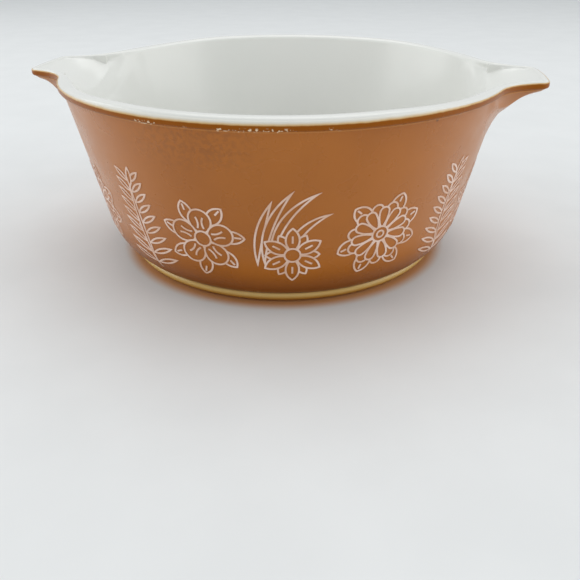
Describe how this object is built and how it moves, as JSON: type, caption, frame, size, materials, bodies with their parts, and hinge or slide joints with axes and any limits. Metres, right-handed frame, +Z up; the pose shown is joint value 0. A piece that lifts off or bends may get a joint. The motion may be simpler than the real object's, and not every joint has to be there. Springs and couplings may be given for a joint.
{
  "type": "round casserole dish",
  "caption": "Round opal-glass oven casserole, open, with two spout-shaped lugs, a fired brown coat outside and a pale floral line print.",
  "frame": {"origin": "middle of the foot's resting plane, on the dish's axis", "axes": "+Z up through the open top, +X along the line from one lug to the other"},
  "size_m": [0.2008, 0.172, 0.072],
  "materials": {
    "opal_glass": "gloss, pressed, milk white",
    "brown_coat": "gloss, fired brown enamel",
    "pale_print": "gloss, fired pale pink line print"
  },
  "bodies": {
    "root": {"colour_coat": "brown_coat", "glass_body": "opal_glass", "print_blossom": "pale_print", "print_daisy": "pale_print", "print_fern": "pale_print", "print_star": "pale_print"}
  },
  "joints": []
}
